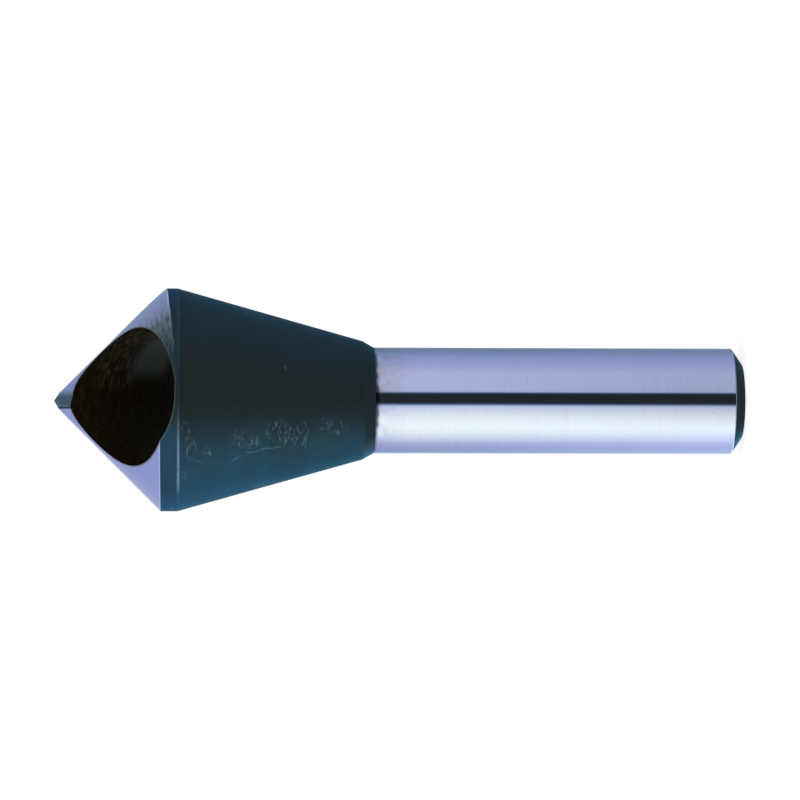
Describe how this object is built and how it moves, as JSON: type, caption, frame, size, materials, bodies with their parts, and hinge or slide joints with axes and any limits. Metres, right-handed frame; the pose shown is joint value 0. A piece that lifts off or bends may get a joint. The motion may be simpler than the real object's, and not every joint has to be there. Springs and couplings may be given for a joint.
{
  "type": "countersink bit",
  "caption": "Straight-shank countersink and deburring bit: a 90 degree relief-ground cone whose cutting edge is made by one oblique cross-hole, with a tapered body.",
  "frame": {"origin": "centre of the flat end of the shank, on the tool's axis", "axes": "+Z along the tool's axis from the shank's end to the point; the front mouth of the cross-hole faces -Y and the hole comes out at the back, towards +Y; +X completes the right-handed frame"},
  "size_m": [0.021, 0.021, 0.065],
  "materials": {
    "high_speed_steel": "high-speed steel: ground bright on the cutting cone and shank, black-oxidised on the land, back taper, neck, shank end and inside the cross-hole"
  },
  "bodies": {
    "root": {"countersink_bit": "high_speed_steel"}
  },
  "joints": []
}
